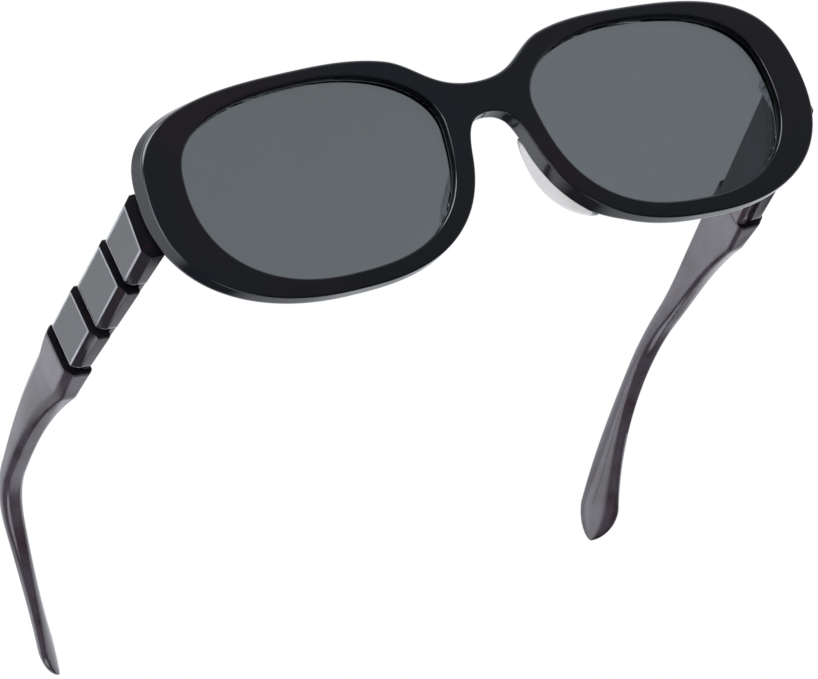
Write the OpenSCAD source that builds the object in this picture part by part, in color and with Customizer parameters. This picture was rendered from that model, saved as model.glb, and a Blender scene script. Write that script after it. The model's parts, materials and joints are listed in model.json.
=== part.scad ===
// Sunglasses: a thick oval front in one piece, grey lenses, clear glued nose pads,
// and temples that each carry three sculpted blocks in front of a slender arm.
// Right and left are the wearer's. The right side lies at negative X.
// The front is drawn upright, X across, Y to the back, Z up, zero at the lens centres.

/* [Lens openings] */
// Half the distance between the two lens centres
eye_x = 36; // [34:0.5:40]
// Reach of the opening from its centre towards the nose
open_nose = 26.2; // [24:0.1:27]
// Reach of the opening from its centre towards the temple
open_temple = 27.3; // [25:0.1:30]
// Reach of the opening above its centre
open_up = 14.7; // [13:0.1:17]
// Reach of the opening below its centre
open_down = 23.9; // [21:0.1:26]
// Sideways lean of the outlines for each millimetre of height
lean = 0.1; // [0:0.01:0.15]
// Squareness of the opening's corner at the brow, nose side
open_sq_brow_nose = 2; // [1.9:0.05:3]
// Squareness of the opening's corner at the brow, temple side
open_sq_brow_temple = 2.55; // [2:0.05:3]
// Squareness of the opening's corner at the cheek, temple side
open_sq_cheek_temple = 2.2; // [2:0.05:3]
// Squareness of the opening's corner at the cheek, nose side
open_sq_cheek_nose = 2.65; // [2:0.05:3]

/* [Front] */
// Width of the rim on the nose side
rim_nose = 4.1; // [3.5:0.1:5]
// Width of the rim on the temple side
rim_temple = 7.6; // [6.5:0.1:9]
// Width of the rim above the lens
rim_top = 2.6; // [2.2:0.1:4]
// Width of the rim below the lens
rim_bottom = 3.3; // [2.8:0.1:5]
// Squareness of the rim's corner at the brow, nose side
rim_sq_brow_nose = 2.5; // [2.1:0.05:3]
// Squareness of the rim's corner at the brow, temple side
rim_sq_brow_temple = 3; // [2.3:0.05:3.2]
// Squareness of the rim's corner at the cheek, temple side
rim_sq_cheek_temple = 2.25; // [2:0.05:3]
// Squareness of the rim's corner at the cheek, nose side
rim_sq_cheek_nose = 2.6; // [2.2:0.05:3]
// Thickness of the front, from face to back
front_t = 4.2; // [3.8:0.1:5.5]
// Radius of the curve that the front follows across the face
front_r = 595; // [350:5:900]
// Height of the bridge's top edge above the lens centres
bridge_top = 7.8; // [6:0.1:10]
// Height of the nose arch above the lens centres
nose_arch = 1.2; // [-1:0.1:2]
// Radius of the outer front edge along the brow
brow_edge_r = 1; // [0.6:0.1:1.8]
// Radius of the outer front edge along the cheek
cheek_edge_r = 0.4; // [0.2:0.1:1]
// Radius of the outer back edge along the brow and temple
back_edge_r = 1.3; // [0.6:0.1:1.6]
// Radius of the outer back edge along the cheek
back_edge_cheek_r = 1.8; // [1:0.1:2.4]
// Bevel on both edges of the opening
open_bevel = 0.35; // [0.2:0.05:0.5]
// How far the side wall spreads from the front edge to the back edge
side_flare = 1; // [0:0.1:1.4]

/* [Lenses] */
// Depth of the lens surface behind the front face
lens_recess = 1.9; // [1:0.1:2]
// Thickness of a lens
lens_t = 1.8; // [1.4:0.1:1.9]
// Depth of the groove that holds the lens
groove_d = 0.8; // [0.5:0.1:1.2]
// Gap between a lens and its groove
lens_gap = 0.06; // [0.03:0.01:0.12]

/* [Nose pads] */
// Height of a pad behind the front's back face
pad_h = 6.2; // [4:0.1:7]
// Width of a pad at its middle
pad_w = 3.6; // [2.6:0.1:3.8]
// How far the pad's crest leans away from the nose
pad_lean = 0.4; // [0:0.1:2]
// Glue line between a pad and the front
glue_gap = 0.05; // [0.03:0.01:0.1]

/* [Hinges] */
// Distance of a hinge axis inside the front's side edge
hinge_inset = 4.9; // [4.6:0.1:5.1]
// Distance of a hinge axis behind the front's back face
hinge_back = 2.2; // [2:0.1:2.8]
// Radius of the knuckles
knuckle_r = 1.4; // [1.2:0.05:1.5]
// Height of one knuckle
knuckle_h = 1.25; // [1:0.05:1.5]
// Gap between two knuckles
knuckle_gap = 0.1; // [0.05:0.01:0.15]
// Radius of the screw's shank
screw_r = 0.6; // [0.5:0.05:0.7]
// Clearance round the shank
screw_gap = 0.05; // [0.02:0.01:0.08]
// Radius of the screw's head
screw_head_r = 1.1; // [1:0.05:1.2]
// Height of the screw's head
screw_head_h = 0.55; // [0.4:0.05:0.8]
// Thickness of the hinge leaves
leaf_t = 0.9; // [0.7:0.05:1]
// Length of the front leaf along the front's back face
front_leaf_l = 5.1; // [4.8:0.1:5.4]
// Distance of the front leaf from the lens groove
front_leaf_edge = 0.4; // [0.3:0.1:0.6]
// Height of both leaves beyond the knuckles
leaf_extra_h = 1; // [0.9:0.1:1.6]
// Length of the temple leaf along the temple
temple_leaf_l = 10; // [8:0.1:11]
// Distance of the temple leaf from the temple's front end
temple_leaf_set = 1.5; // [1.4:0.1:2]
// Clearance round a leaf in its pocket
leaf_gap = 0.05; // [0.03:0.01:0.1]

/* [Temples] */
// Gap between the front and the end of an open temple
butt_gap = 0.3; // [0.2:0.05:0.5]
// Downward slope of the temples from the front's square, degrees
temple_slope = 9.5; // [6:0.1:11]
// Outward splay of the open temples, degrees
temple_splay = 6.9; // [3:0.1:8]
// Height of the temple's middle line at the hinge, from the lens centres
temple_z = -4.2; // [-6:0.1:-3]
// Distance of the temple's inner face from the hinge axis
temple_in = 1.8; // [1.75:0.05:2.2]
// Thickness of the strip under the blocks
strip_t = 1.9; // [1.7:0.05:2.3]
// Thickness of strip and block together at a block's front end
block_t = 6.1; // [5.2:0.1:6.5]
// Height of the flat panel on a block's outer face
panel_h = 9; // [7:0.1:9.5]
// Height of the slope above the panel
slope_up = 1.7; // [1:0.1:2.2]
// Height of the slope below the panel
slope_down = 2; // [1:0.1:2.4]
// Depth of both slopes into a block's thickness
slope_in = 1.5; // [0.8:0.1:1.8]
// Pitch of the front block
front_block_l = 13.8; // [11:0.1:16]
// Pitch of the middle block
middle_block_l = 14.7; // [12:0.1:17]
// Pitch of the rear block
rear_block_l = 13; // [11:0.1:16]
// Gap between one block and the next
block_gap = 1.3; // [0.6:0.1:1.8]
// Fall of a block's outer face from its front end to its rear end
block_fall = 1; // [0.4:0.1:1.4]
// Fall of the blocks' upper edge over all three blocks
edge_fall_up = 0.5; // [0:0.1:1]
// Rise of the blocks' lower edge over all three blocks
edge_rise_down = 0.5; // [0:0.1:1]
// How far the blocks stand over the strip, above and below
strip_inset = 1; // [0:0.1:1.4]
// Radius of the corners at a block's front end, seen from the side
block_front_r = 0.8; // [0.4:0.1:1.6]
// Radius of the corners at a block's rear end, seen from the side
block_rear_r = 1.8; // [0.6:0.1:2.6]
// Chamfer along the strip's inner edges
inner_chamfer = 0.8; // [0.4:0.1:1]

/* [Arms] */
// Length of the arm's block-like front end
arm_head_l = 8.5; // [7:0.1:10]
// Thickness of the slender arm
arm_t = 4.8; // [4:0.1:5.2]
// Height of the slender arm at its thinnest
arm_h = 4.2; // [4:0.1:6]
// Length over which the arm narrows behind the blocks
arm_taper_l = 43; // [35:1:55]
// Distance from the blocks to the start of the ear bend
ear_start_l = 42; // [38:1:48]
// Length of the ear bend
ear_bend_l = 18; // [14:1:22]
// Downward turn of the temple in the ear bend, degrees
ear_drop = 24; // [20:1:32]
// Further downward turn between the ear bend and the tip, degrees
tip_drop = 20; // [6:1:24]
// Inward turn of the slender arm, degrees
bow_turn = 12; // [8:1:14]
// Further inward turn of the temple in the ear bend, degrees
ear_turn = 9; // [6:1:14]
// Length of a temple from its front end to its tip
temple_l = 138.5; // [132:0.5:144]
// Thickness of the tip
tip_t = 2.8; // [2.4:0.1:4]
// Height of the tip at its widest
tip_h = 8.6; // [6:0.1:9]
// Twist of the tip about the arm, degrees
tip_twist = 38; // [0:1:40]
// Length of the tip's pointed end
tip_point_l = 7.5; // [6:0.5:10]
// Height of the core wire
wire_h = 2.2; // [1.6:0.1:2.6]
// Thickness of the core wire
wire_t = 0.7; // [0.5:0.05:0.8]
// Distance from the core wire's end to the temple's tip
wire_end_gap = 13; // [10:0.5:30]
// Clearance round the core wire
wire_gap = 0.05; // [0.03:0.01:0.1]

/* [Hidden] */

RIGHT = -1;
LEFT = 1;
round_fn = 48;

opening_reach = [open_nose, open_temple, open_up, open_down];
opening_square = [open_sq_brow_nose, open_sq_brow_temple, open_sq_cheek_temple, open_sq_cheek_nose];
rim_reach = opening_reach + [rim_nose, rim_temple, rim_top, rim_bottom];
rim_square = [rim_sq_brow_nose, rim_sq_brow_temple, rim_sq_cheek_temple, rim_sq_cheek_nose];
lens_mid_y = lens_recess + lens_t / 2;
opening_x = eye_x + open_temple;
hinge_x = opening_x + rim_temple - hinge_inset;
hinge_y = back_y(hinge_x) + hinge_back;
blocks_l = front_block_l + middle_block_l + rear_block_l;
ear_start = blocks_l + ear_start_l;
ear_end = ear_start + ear_bend_l;
butt_y = butt_gap - hinge_back;

function sign_of(v) = v < 0 ? -1 : 1;
function clamp01(v) = min(1, max(0, v));
function smooth(v) = let (u = clamp01(v)) u * u * (3 - 2 * u);
function mix(a, b, w) = a + (b - a) * w;
function unit(v) = v / norm(v);
function left_of(v) = [-v[1], v[0]];
function bezier(p, s) = pow(1 - s, 3) * p[0] + 3 * s * pow(1 - s, 2) * p[1]
    + 3 * s * s * (1 - s) * p[2] + pow(s, 3) * p[3];
function bezier_way(p, s) = unit(pow(1 - s, 2) * (p[1] - p[0])
    + 2 * s * (1 - s) * (p[2] - p[1]) + s * s * (p[3] - p[2]));

// The front is bent to a cylinder: its face lies this far behind the bridge's face.
function face_y(x) = front_r - sqrt(front_r * front_r - x * x);
function back_y(x) = face_y(x) + front_t;
function face_turn(x) = asin(x / front_r);

// Rounded oval round a lens centre. Angle 0 points to the temple, 90 up, 180 to the nose.
function oval(t, reach, square) =
    let (
        c = cos(t),
        s = sin(t),
        power = 2 / (s > 0 ? (c > 0 ? square[1] : square[0]) : (c > 0 ? square[2] : square[3])),
        u = (c > 0 ? reach[1] : reach[0]) * sign_of(c) * pow(abs(c), power),
        v = (s > 0 ? reach[2] : reach[3]) * sign_of(s) * pow(abs(s), power)
    )
    [eye_x + u - lean * v, v];
way_step = 0.4;
function oval_way(t, reach, square) =
    unit(oval(t + way_step, reach, square) - oval(t - way_step, reach, square));

// Stations round one half of the front. They follow the rim from the nose round the cheek,
// temple and brow, then the brow's fall to the bridge, the middle plane and the nose arch.
station_step = 5;
rim_start = 190;
rim_last = 58;
brow_steps = 7;
middle_steps = 2;
brow_last = rim_last + brow_steps;
arch_first = brow_last + middle_steps;
stations = 360 / station_step;
brow_pull = 6.4;
bridge_pull = 9.3;
arch_pull = 4.6;
nose_pull = 5;
function rim_angle(k) = rim_start + station_step * k;
brow_from = oval(rim_angle(rim_last), rim_reach, rim_square);
brow_curve = [brow_from,
    brow_from + brow_pull * oval_way(rim_angle(rim_last), rim_reach, rim_square),
    [bridge_pull, bridge_top], [0, bridge_top]];
nose_to = oval(rim_start, rim_reach, rim_square);
arch_curve = [[0, nose_arch], [arch_pull, nose_arch],
    nose_to - nose_pull * oval_way(rim_start, rim_reach, rim_square), nose_to];

function in_middle(k) = k > brow_last && k < arch_first;
function edge_point(k) =
    k <= rim_last ? oval(rim_angle(k), rim_reach, rim_square)
    : k <= brow_last ? bezier(brow_curve, (k - rim_last) / (brow_last - rim_last))
    : k < arch_first ? [0, (bridge_top + nose_arch) / 2]
    : bezier(arch_curve, (k - arch_first) / (stations - arch_first));
function edge_way(k) =
    k <= rim_last ? oval_way(rim_angle(k), rim_reach, rim_square)
    : k <= brow_last ? bezier_way(brow_curve, (k - rim_last) / (brow_last - rim_last))
    : k < arch_first ? [0, -1]
    : bezier_way(arch_curve, (k - arch_first) / (stations - arch_first));

// The pads sit flush with the nose side, so the back edge is left sharp there.
pad_first = 0;
pad_last = 7;
seat_edge_r = 0.15;
seat_fade = 2;
function from_seat(k) = min(abs(k - pad_first), abs(k - pad_last), abs(k - stations - pad_first));
function on_seat(k) = k >= pad_first && k <= pad_last ? 1 : 1 - clamp01(from_seat(k) / (seat_fade + 1));
brow_blend_z = 10;
function front_edge_r(k) = in_middle(k) ? 0
    : mix(cheek_edge_r, brow_edge_r, smooth(edge_point(k)[1] / brow_blend_z));
cheek_blend_z = -rim_reach[3] / 2;
function back_edge_at(k) = in_middle(k) ? 0
    : mix(mix(back_edge_r, back_edge_cheek_r, smooth(edge_point(k)[1] / cheek_blend_z)),
        seat_edge_r, on_seat(k));
flare_angle = 20;
function flare_at(k) = k > rim_last ? 0 : side_flare * pow(max(0, cos(rim_angle(k) - flare_angle)), 2);

function in_front(p, depth) = [p[0], face_y(p[0]) + depth, p[1]];
// One section through the rim, as a loop from the opening's front bevel, over the face,
// down the side, along the back and through the lens groove.
arc_steps = [0, 30, 60, 90];
function rim_section(k) =
    let (
        t = rim_angle(k),
        opening = oval(t, opening_reach, opening_square),
        open_out = -left_of(oval_way(t, opening_reach, opening_square)),
        edge = edge_point(k),
        inward = left_of(edge_way(k)),
        back_edge = edge - inward * flare_at(k),
        rf = front_edge_r(k),
        rb = back_edge_at(k),
        lip = opening + open_out * open_bevel
    )
    concat(
        [in_front(opening, open_bevel), in_front(lip, 0)],
        [in_front(mix(lip, edge + inward * rf, 0.5), 0)],
        [for (a = arc_steps) in_front(edge + inward * rf * (1 - sin(a)), rf * (1 - cos(a)))],
        [for (a = [90, 60, 30, 0])
            in_front(back_edge + inward * rb * (1 - sin(a)), front_t - rb * (1 - cos(a)))],
        [in_front(mix(lip, back_edge + inward * rb, 0.5), front_t)],
        [in_front(lip, front_t), in_front(opening, front_t - open_bevel)],
        [in_front(opening, lens_mid_y + lens_t / 2 + lens_gap),
            in_front(opening + open_out * groove_d, lens_mid_y),
            in_front(opening, lens_mid_y - lens_t / 2 - lens_gap)]
    );
columns = 17;
// Columns between these two lie in the middle plane where the halves meet.
plane_first = 3;
plane_last = 10;
function meets_other_half(k, j) =
    k >= brow_last && k < arch_first && j >= plane_first && j < plane_last;
function half_faces(first, flip) = [
    for (k = [0 : stations - 1])
        for (j = [0 : columns - 1])
            if (!meets_other_half(k, j))
                let (
                    next_k = (k + 1) % stations,
                    next_j = (j + 1) % columns,
                    a = first + k * columns + j,
                    b = first + next_k * columns + j,
                    c = first + next_k * columns + next_j,
                    d = first + k * columns + next_j
                )
                each flip ? [[a, c, b], [a, d, c]] : [[a, b, c], [a, c, d]]
];
module front_body() {
    half = [for (k = [0 : stations - 1]) each rim_section(k)];
    other = [for (p = half) [-p[0], p[1], p[2]]];
    polyhedron(concat(half, other),
        concat(half_faces(0, false), half_faces(len(half), true)));
}

// A lens is bounded by rings: the middle, a ring inside the face, the edge of the face,
// the crest of the bevel, and the same again on the back.
lens_inner_ring = 0.55;
function lens_edge(t, out) =
    oval(t, opening_reach, opening_square)
    - left_of(oval_way(t, opening_reach, opening_square)) * out;
function lens_ring(out, share, depth) = [
    for (k = [0 : stations - 1])
        in_front(mix([eye_x, 0], lens_edge(rim_angle(k), out), share), depth)
];
lens_back = lens_recess + lens_t;
module lens_body() {
    rings = [lens_ring(-lens_gap, lens_inner_ring, lens_recess), lens_ring(-lens_gap, 1, lens_recess),
        lens_ring(groove_d - 2 * lens_gap, 1, lens_mid_y), lens_ring(-lens_gap, 1, lens_back),
        lens_ring(-lens_gap, lens_inner_ring, lens_back)];
    capped_rings(rings, in_front([eye_x, 0], lens_recess), in_front([eye_x, 0], lens_back));
}

// Skin over a row of rings with a point closing each end.
module capped_rings(rings, first_point, last_point) {
    n = len(rings[0]);
    last = len(rings) - 1;
    tip_a = n * len(rings);
    tip_b = tip_a + 1;
    points = concat([for (r = rings) each r], [first_point, last_point]);
    skin = [
        for (i = [0 : last - 1])
            for (j = [0 : n - 1])
                let (a = i * n + j, b = i * n + (j + 1) % n)
                each [[a, b, b + n], [a, b + n, a + n]]
    ];
    ends = [
        for (j = [0 : n - 1])
            each [[tip_a, (j + 1) % n, j], [tip_b, last * n + j, last * n + (j + 1) % n]]
    ];
    polyhedron(points, concat(skin, ends));
}

// A nose pad is a crescent that follows the rim's nose edge and rises behind it.
pad_rings = 14;
pad_from = -1.2;
pad_to = 7.8;
pad_fullness = 0.5;
pad_edge_inset = 0.1;
function pad_station(i) = mix(pad_from, pad_to, i / pad_rings);
function pad_edge(k) = k < 0 ? bezier(arch_curve, 1 + k / (stations - arch_first)) : edge_point(k);
function pad_inward(k) = left_of(k < 0 ? bezier_way(arch_curve, 1 + k / (stations - arch_first)) : edge_way(k));
// Shape of the section: share of the width from the nose edge, and share of the height.
pad_profile = [[1, 0], [1, 0.4], [0.9, 0.72], [0.7, 0.94], [0.45, 1], [0.22, 0.9],
    [0.08, 0.68], [0.02, 0.35], [0, 0]];
function pad_ring(i) =
    let (
        k = pad_station(i),
        full = pow(sin(180 * i / pad_rings), pad_fullness),
        edge = pad_edge(k) + pad_inward(k) * pad_edge_inset
    )
    [for (q = pad_profile)
        in_front(edge + pad_inward(k) * (q[0] * pad_w * full + q[1] * q[1] * pad_lean * full),
            front_t + glue_gap + q[1] * pad_h * full)];
module nose_pad_body() {
    rings = [for (i = [1 : pad_rings - 1]) pad_ring(i)];
    first = in_front(pad_edge(pad_from) + pad_inward(pad_from) * pad_edge_inset, front_t + glue_gap);
    last = in_front(pad_edge(pad_to) + pad_inward(pad_to) * pad_edge_inset, front_t + glue_gap);
    capped_rings(rings, first, last);
}

// Places on one side of the face. The hinge frame has its Z along the hinge axis and its
// Y down the sloping temple; the temple frame is the same, turned outward by the splay.
module on_side(side) {
    if (side == LEFT) children();
    else mirror([1, 0, 0]) children();
}
module at_hinge() {
    translate([hinge_x, hinge_y, temple_z]) rotate([-temple_slope, 0, 0]) children();
}
module at_temple() {
    at_hinge() rotate([0, 0, -temple_splay]) children();
}

// Hinge: three knuckles on the front leaf, two on the temple leaf, one screw.
knuckle_count = 5;
knuckle_pitch = knuckle_h + knuckle_gap;
hinge_h = knuckle_count * knuckle_h + (knuckle_count - 1) * knuckle_gap;
leaf_h = hinge_h + leaf_extra_h;
function knuckle_z(i) = -hinge_h / 2 + i * knuckle_pitch;
module knuckle(i) {
    translate([0, 0, knuckle_z(i)]) cylinder(h = knuckle_h, r = knuckle_r, $fn = round_fn);
}
module knuckle_bore() {
    translate([0, 0, -hinge_h]) cylinder(h = 2 * hinge_h, r = screw_r + screw_gap, $fn = round_fn);
}
module at_front_leaf() {
    mid_x = opening_x + groove_d + front_leaf_edge + front_leaf_l / 2;
    translate([mid_x, back_y(mid_x), temple_z]) rotate([0, 0, face_turn(mid_x)]) children();
}
module front_leaf_plate(gap) {
    at_front_leaf()
        translate([-front_leaf_l / 2 - gap, -leaf_t - gap, -leaf_h / 2 - gap])
            cube([front_leaf_l + 2 * gap, leaf_t + 2 * gap, leaf_h + 2 * gap]);
}
// The knuckles' legs run down into the leaf and end flush with its hidden face.
module front_leaf_body() {
    leg_l = hinge_back + leaf_t;
    difference() {
        union() {
            front_leaf_plate(0);
            at_hinge()
                for (i = [0, 2, 4]) {
                    knuckle(i);
                    translate([-knuckle_r, -leg_l, knuckle_z(i)]) cube([2 * knuckle_r, leg_l, knuckle_h]);
                }
        }
        at_hinge() knuckle_bore();
        at_front_leaf()
            translate([-front_leaf_l, -leaf_t - leg_l, -leaf_h])
                cube([2 * front_leaf_l, leg_l, 2 * leaf_h]);
    }
}
module temple_leaf_plate(gap) {
    translate([temple_in - gap, butt_y + temple_leaf_set - gap, -leaf_h / 2 - gap])
        cube([leaf_t + 2 * gap, temple_leaf_l + 2 * gap, leaf_h + 2 * gap]);
}
module temple_leaf_body() {
    difference() {
        at_temple() {
            temple_leaf_plate(0);
            for (i = [1, 3]) {
                knuckle(i);
                translate([0, butt_y + temple_leaf_set, knuckle_z(i)])
                    cube([temple_in + leaf_t / 2, knuckle_r - butt_y - temple_leaf_set, knuckle_h]);
            }
        }
        at_hinge() knuckle_bore();
    }
}
slot_w = 0.3;
slot_d = 0.25;
module hinge_screw_body() {
    at_hinge()
        difference() {
            union() {
                translate([0, 0, -hinge_h / 2]) cylinder(h = hinge_h, r = screw_r, $fn = round_fn);
                translate([0, 0, hinge_h / 2]) cylinder(h = screw_head_h, r = screw_head_r, $fn = round_fn);
            }
            translate([-2 * screw_head_r, -slot_w / 2, hinge_h / 2 + screw_head_h - slot_d])
                cube([4 * screw_head_r, slot_w, 1]);
        }
}

// Temple path. s is the length from the temple's front end, along its inner face.
function path_yaw(s) = -bow_turn * clamp01((s - blocks_l) / ear_start_l)
    - ear_turn * clamp01((s - ear_start) / ear_bend_l);
function path_fall(s) = ear_drop * clamp01((s - ear_start) / ear_bend_l)
    + tip_drop * clamp01((s - ear_end) / (temple_l - ear_end));
function path_way(s) = [sin(path_yaw(s)) * cos(path_fall(s)), cos(path_yaw(s)) * cos(path_fall(s)),
    -sin(path_fall(s))];
path_step = 2.3;
path_count = ceil((temple_l - blocks_l) / path_step);
path_d = (temple_l - blocks_l) / path_count;
path_points = [
    for (i = 0, p = [temple_in, butt_y + blocks_l, 0]; i <= path_count;
        p = p + path_d * path_way(blocks_l + path_d * (i + 0.5)), i = i + 1) p
];
function path_point(s) = s <= blocks_l ? [temple_in, butt_y + s, 0]
    : let (f = (s - blocks_l) / path_d, i = min(path_count - 1, floor(f)))
        mix(path_points[i], path_points[i + 1], f - i);

// The blocks' upper and lower edges draw together towards the arm.
function block_top(s) = panel_h / 2 + slope_up - edge_fall_up * clamp01(s / blocks_l);
function block_bottom(s) = -panel_h / 2 - slope_down + edge_rise_down * clamp01(s / blocks_l);
function edge_h(s) = block_top(s) - block_bottom(s);
function edge_mid(s) = (block_top(s) + block_bottom(s)) / 2;

// Height, thickness, lift and twist of the arm along the path.
taper_start = blocks_l + arm_head_l;
taper_power = 2;
tip_swell_l = 32;
tip_swell_power = 1.6;
tip_start = temple_l - tip_point_l;
function arm_share(s) = pow(1 - clamp01((s - taper_start) / arm_taper_l), taper_power);
function plain_h(s) = mix(arm_h, edge_h(s), arm_share(s));
function swell(s) = pow(clamp01((s - (tip_start - tip_swell_l)) / tip_swell_l), tip_swell_power);
point_min = 0.12;
point_power = 1.3;
function point_share(s) = s <= tip_start ? 1
    : max(point_min, pow(cos(asin(min(1, (s - tip_start) / tip_point_l))), point_power));
function height_at(s) = (plain_h(s) + (tip_h - arm_h) * swell(s)) * point_share(s);
function thick_at(s) =
    s < taper_start ? mix(block_t, arm_t, (s - blocks_l) / arm_head_l)
    : mix(arm_t, tip_t, smooth((s - ear_start) / (tip_start - ear_start))) * point_share(s);
lift_fade_l = 35;
lift_share = 0.55;
function lift_at(s) = edge_mid(s) * arm_share(s)
    + (edge_h(s) - plain_h(s)) / 2 * mix(lift_share, 0, smooth((s - taper_start) / lift_fade_l));
function twist_at(s) = -tip_twist * clamp01((s - ear_start) / (tip_start - ear_start));
roundness = 0.8;
rounding_fade_l = 8;
function round_at(s) = roundness * smooth((s - blocks_l) / (arm_head_l + rounding_fade_l));

// Axes of a section: across the temple and up, both square to the path.
function axis_out(s) =
    let (w = path_way(s), a = twist_at(s), out = unit([1, 0, 0] - w[0] * w), up = cross(out, w))
    cos(a) * out - sin(a) * up;
function axis_up(s) =
    let (w = path_way(s), a = twist_at(s), out = unit([1, 0, 0] - w[0] * w), up = cross(out, w))
    cos(a) * up + sin(a) * out;
function plain_out(s) = let (w = path_way(s)) unit([1, 0, 0] - w[0] * w);
function plain_up(s) = cross(plain_out(s), path_way(s));
function section_middle(s, thick) = path_point(s) + plain_out(s) * thick / 2 + plain_up(s) * lift_at(s);

// Chamfered rectangle, with a point in the middle of each side, blended into an ellipse.
section_angles = [30, 45, 60, 90, 120, 135, 150, 180, 210, 225, 240, 270, 300, 315, 330, 360];
function chamfered(t, h, co, ci) = [[t, h - 2 * co], [t - co, h - co], [t - 2 * co, h], [0, h],
    [2 * ci - t, h], [ci - t, h - ci], [-t, h - 2 * ci], [-t, 0], [-t, 2 * ci - h], [ci - t, ci - h],
    [2 * ci - t, -h], [0, -h], [t - 2 * co, -h], [t - co, co - h], [t, 2 * co - h], [t, 0]] / 2;
function arm_section(s, t, h, co, ci, soft) =
    let (middle = section_middle(s, t), out = axis_out(s), up = axis_up(s), box = chamfered(t, h, co, ci))
    [for (i = [0 : len(box) - 1])
        let (q = mix(box[i], [t * cos(section_angles[i]), h * sin(section_angles[i])] / 2, soft))
        middle + out * q[0] + up * q[1]];
strip_front = -3;
strip_edge = 0.1;
step_run = 0.02;
function strip_ring(s) = arm_section(s, strip_t, edge_h(s) - 2 * strip_inset, strip_edge, inner_chamfer, 0);
function arm_ring(s) =
    let (t = thick_at(s), h = height_at(s), limit = 0.3 * min(t, h))
    arm_section(s, t, h, min(slope_in, limit), min(inner_chamfer, limit), round_at(s));
arm_steps = 36;
arm_rings = concat([strip_ring(strip_front), strip_ring(blocks_l - step_run)],
    [for (i = [0 : arm_steps]) arm_ring(mix(blocks_l, tip_start, i / arm_steps))],
    [for (a = [18 : 18 : 90]) arm_ring(tip_start + tip_point_l * sin(a))]);

// Flat wire inside the temple, from the temple leaf almost to the tip.
wire_from = temple_leaf_set + temple_leaf_l;
wire_to = temple_l - wire_end_gap;
wire_rings = 36;
wire_sink = blocks_l + 1;
wire_sink_l = 12;
function wire_middle(s) =
    section_middle(s, mix(strip_t, thick_at(max(s, blocks_l)), smooth((s - wire_sink) / wire_sink_l)));
function wire_ring(s, grow) =
    let (m = wire_middle(s), out = axis_out(s) * (wire_t / 2 + grow), up = axis_up(s) * (wire_h / 2 + grow))
    [m + out + up, m - out + up, m - out - up, m + out - up];
function wire_s(i) = mix(wire_from, wire_to, i / wire_rings);
module wire_body(grow, past) {
    flat_rings([for (i = [0 : wire_rings]) wire_ring(wire_s(i) - (i == 0 ? past : 0), grow)]);
}

// Skin over a row of rings with a flat face on each end.
module flat_rings(rings) {
    n = len(rings[0]);
    last = len(rings) - 1;
    skin = [
        for (i = [0 : last - 1])
            for (j = [0 : n - 1])
                let (a = i * n + j, b = i * n + (j + 1) % n)
                each [[a, b, b + n], [a, b + n, a + n]]
    ];
    polyhedron([for (r = rings) each r],
        concat(skin, [[for (j = [n - 1 : -1 : 0]) j]], [[for (j = [0 : n - 1]) last * n + j]]));
}

// Everything of a temple that would reach into the front is cut off along the front's back.
mitre_x = hinge_x + temple_in + block_t / 2;
mitre_room = 60;
module mitre() {
    translate([mitre_x, back_y(mitre_x) + butt_gap, 0])
        rotate([0, 0, face_turn(mitre_x)])
            translate([-mitre_room / 2, -mitre_room, -mitre_room / 2]) cube(mitre_room);
}
module temple_body() {
    difference() {
        at_temple() flat_rings(arm_rings);
        at_temple() temple_leaf_plate(leaf_gap);
        at_temple() wire_body(wire_gap, 2 * leaf_gap);
        mitre();
    }
}

// Blocks on the strip. The outer face falls towards the rear, so each block stands
// proud of the one before it. A block is lofted from its front section to its rear section.
function corner_arc(x, y, r, turn) =
    [for (a = [turn : 30 : turn + 90]) [x + r * cos(a), y + r * sin(a)]];
function side_outline(from, to) = concat(
    corner_arc(to - block_rear_r, block_top(to) - block_rear_r, block_rear_r, 0),
    corner_arc(from + block_front_r, block_top(from) - block_front_r, block_front_r, 90),
    corner_arc(from + block_front_r, block_bottom(from) + block_front_r, block_front_r, 180),
    corner_arc(to - block_rear_r, block_bottom(to) + block_rear_r, block_rear_r, 270)
);
slice_l = 0.01;
module block_slice(s, outer) {
    translate([temple_in, butt_y + s + slice_l, 0])
        rotate([90, 0, 0])
            linear_extrude(height = slice_l)
                polygon([[outer, panel_h / 2], [outer - slope_in, block_top(s)], [strip_t, block_top(s)],
                    [strip_t, block_bottom(s)], [outer - slope_in, block_bottom(s)], [outer, -panel_h / 2]]);
}
module block_body(from, to) {
    start = max(from, 0);
    fall = block_fall / front_block_l;
    at_temple()
        intersection() {
            hull() {
                block_slice(from, block_t - fall * (from - start));
                block_slice(to - slice_l, block_t - fall * (to - start));
            }
            translate([0, butt_y, 0])
                rotate([90, 0, 90])
                    linear_extrude(height = temple_in + 2 * block_t) polygon(side_outline(from, to));
        }
}

// Rest position. The glasses stand on the lower edge of the rims and on both tips.
function turned(p) = let (q = [p[0] * cos(temple_splay) + p[1] * sin(temple_splay),
        -p[0] * sin(temple_splay) + p[1] * cos(temple_splay), p[2]])
    [hinge_x + q[0], hinge_y + q[1] * cos(temple_slope) + q[2] * sin(temple_slope),
        temple_z - q[1] * sin(temple_slope) + q[2] * cos(temple_slope)];
tip_points = [for (i = [len(arm_rings) - 12 : len(arm_rings) - 1]) for (p = arm_rings[i]) turned(p)];
half_points = [for (k = [0 : stations - 1]) each rim_section(k)];
low_band = 2;
low_points = [for (p = half_points) if (p[2] < low_band - rim_reach[3]) p];
rest_tilt = max([for (t = tip_points) min([for (r = low_points) atan2(r[2] - t[2], t[1] - r[1])])]);
function rest_z(p) = p[1] * sin(rest_tilt) + p[2] * cos(rest_tilt);
function rest_y(p) = p[1] * cos(rest_tilt) - p[2] * sin(rest_tilt);
floor_z = min([for (p = half_points) rest_z(p)]);
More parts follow.
